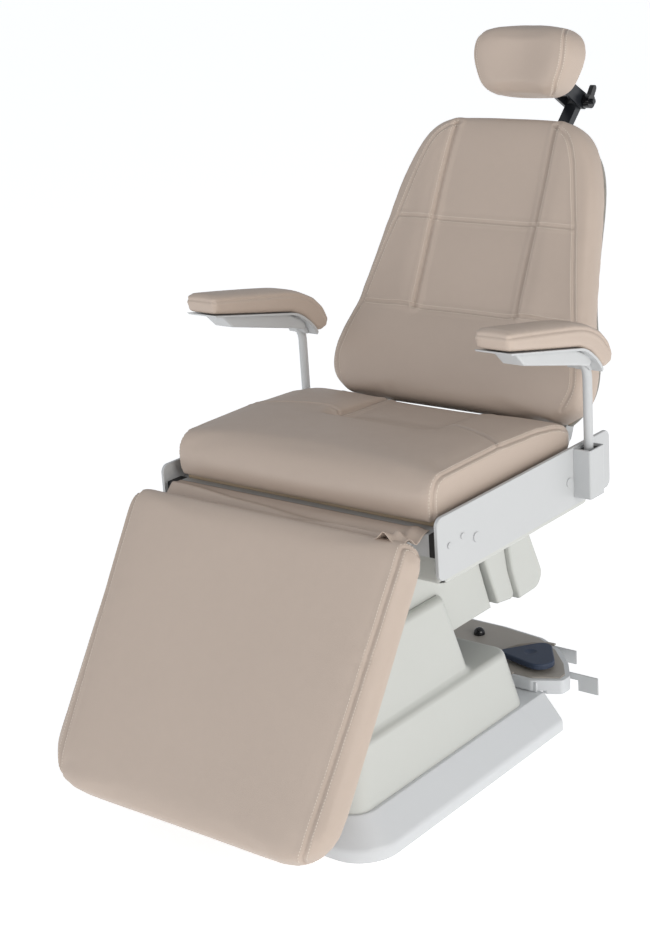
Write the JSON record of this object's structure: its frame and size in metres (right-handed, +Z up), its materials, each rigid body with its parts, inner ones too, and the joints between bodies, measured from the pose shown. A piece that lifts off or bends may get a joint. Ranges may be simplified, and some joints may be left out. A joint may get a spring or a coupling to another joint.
{
  "type": "dental chair",
  "caption": "Powered dental patient chair with lifting base, tilting seat, reclining back, foot section, swing-out arms, jointed headrest and a foot control.",
  "frame": {"origin": "on the floor, on the centre plane, under the middle of the seat's side plates", "axes": "+Z up, the chair faces -Y, +X is the patient's left"},
  "size_m": [0.669, 1.2721, 1.1875],
  "materials": {
    "upholstery": "soft vinyl, fine grain",
    "white_paint": "satin powder coat",
    "cover_moulding": "satin moulded cover",
    "base_moulding": "satin moulded skirt",
    "grey_plastic": "satin",
    "blue_rubber": "matte, moulded",
    "gloss_black": "gloss",
    "black_plastic": "matte",
    "black_steel": "satin black",
    "zinc_steel": "ground",
    "plywood": "plain"
  },
  "bodies": {
    "base": {"base_plate": "black_steel", "levelling_feet": "zinc_steel", "base_skirt": "base_moulding", "lower_cover": "cover_moulding", "guide_tubes": "zinc_steel", "lift_tube": "zinc_steel", "lift_motor": "black_steel", "control_housing": "base_moulding", "control_top": "grey_plastic", "cable_hooks": "white_paint", "power_inlet": "black_plastic", "button_spring": "zinc_steel"},
    "carriage": {"inner_columns": "zinc_steel", "lift_rod": "zinc_steel", "carriage_frame": "black_steel", "tilt_pins": "zinc_steel", "tilt_jack_body": "black_steel", "shroud": "cover_moulding", "rear_cover_front": "cover_moulding", "rear_cover_rear": "cover_moulding"},
    "tilt_rod": {"tilt_rod": "zinc_steel"},
    "seat": {"seat_frame": "white_paint", "front_cross_tube": "white_paint", "tube_end_caps": "black_plastic", "seat_pan": "cover_moulding", "plate_fasteners": "white_paint", "socket_bushes": "black_plastic", "seat_board": "plywood", "seat_cushion": "upholstery", "vinyl_flap": "upholstery", "back_motor": "black_steel", "foot_motor": "black_steel", "side_plate_left": "white_paint", "side_plate_right": "white_paint", "arm_socket_left": "white_paint", "arm_socket_right": "white_paint"},
    "back": {"back_cushion": "upholstery", "back_board": "plywood", "back_shell": "cover_moulding", "back_frame": "white_paint", "recline_pins": "zinc_steel", "headrest_guide": "black_plastic"},
    "headrest_bar": {"headrest_bar": "black_steel"},
    "headrest_link": {"headrest_link": "black_steel"},
    "lock_lever": {"lock_lever": "gloss_black"},
    "headrest": {"headrest_bracket": "black_steel", "headrest_cushion": "upholstery"},
    "foot_section": {"foot_cushion": "upholstery", "foot_board": "plywood", "foot_frame": "white_paint", "foot_pins": "zinc_steel"},
    "arm_left": {"arm_post_left": "white_paint", "arm_pad_left": "upholstery", "arm_bracket_left": "white_paint"},
    "arm_right": {"arm_post_right": "white_paint", "arm_pad_right": "upholstery", "arm_bracket_right": "white_paint"},
    "gimbal_ring": {"gimbal_ring": "black_plastic"},
    "foot_rocker": {"foot_rocker": "blue_rubber"},
    "foot_button": {"foot_button": "gloss_black"}
  },
  "joints": [
    {"name": "lift", "type": "slide", "parent": "base", "child": "carriage", "axis": [0, 0, 1], "range_m": [-0.05, 0.18]},
    {"name": "seat_tilt", "type": "hinge", "parent": "carriage", "child": "seat", "pos_m": [0, 0.14, 0.392], "axis": [-1, 0, 0], "range_deg": [0, 15]},
    {"name": "tilt_rod_slide", "type": "slide", "parent": "carriage", "child": "tilt_rod", "axis": [0, 0, 1], "range_m": [0, 0.056]},
    {"name": "back_recline", "type": "hinge", "parent": "seat", "child": "back", "pos_m": [0, 0.19, 0.52], "axis": [-1, 0, 0], "range_deg": [0, 62]},
    {"name": "foot_section_lift", "type": "hinge", "parent": "seat", "child": "foot_section", "pos_m": [0, -0.29347, 0.47575], "axis": [-1, 0, 0], "range_deg": [0, 56.9]},
    {"name": "arm_swivel_left", "type": "hinge", "parent": "seat", "child": "arm_left", "pos_m": [0.3017, 0.1485, 0.49], "axis": [0, 0, 1], "range_deg": [0, 90]},
    {"name": "arm_swivel_right", "type": "hinge", "parent": "seat", "child": "arm_right", "pos_m": [-0.3017, 0.1485, 0.49], "axis": [0, 0, -1], "range_deg": [0, 90]},
    {"name": "headrest_height", "type": "slide", "parent": "back", "child": "headrest_bar", "axis": [0, 0.4446, 0.8957], "range_m": [0, 0.09]},
    {"name": "headrest_swing", "type": "hinge", "parent": "headrest_bar", "child": "headrest_link", "pos_m": [0, 0.63192, 1.02707], "axis": [-1, 0, 0], "range_deg": [-5, 40]},
    {"name": "headrest_nod", "type": "hinge", "parent": "headrest_link", "child": "headrest", "pos_m": [0, 0.53627, 1.08447], "axis": [-1, 0, 0], "range_deg": [-20, 25]},
    {"name": "lock_lever_turn", "type": "hinge", "parent": "headrest_link", "child": "lock_lever", "pos_m": [0.027, 0.63192, 1.02707], "axis": [1, 0, 0], "range_deg": [0, 60]},
    {"name": "rocker_pitch", "type": "hinge", "parent": "base", "child": "gimbal_ring", "pos_m": [0.156, 0.192, 0.08], "axis": [1, 0, 0], "range_deg": [-3, 3], "stiffness_Nm_per_rad": 8},
    {"name": "rocker_roll", "type": "hinge", "parent": "gimbal_ring", "child": "foot_rocker", "pos_m": [0.156, 0.192, 0.08], "axis": [0, 1, 0], "range_deg": [-3, 3], "stiffness_Nm_per_rad": 8},
    {"name": "button_press", "type": "slide", "parent": "base", "child": "foot_button", "axis": [0, 0, -1], "range_m": [0, 0.004], "stiffness_N_per_m": 600, "springref_m": -0.001, "deforming": ["button_spring"]}
  ],
  "couplings": [
    {"joint": "tilt_rod_slide", "follows": "seat_tilt", "m_per_rad": 0.2137}
  ]
}
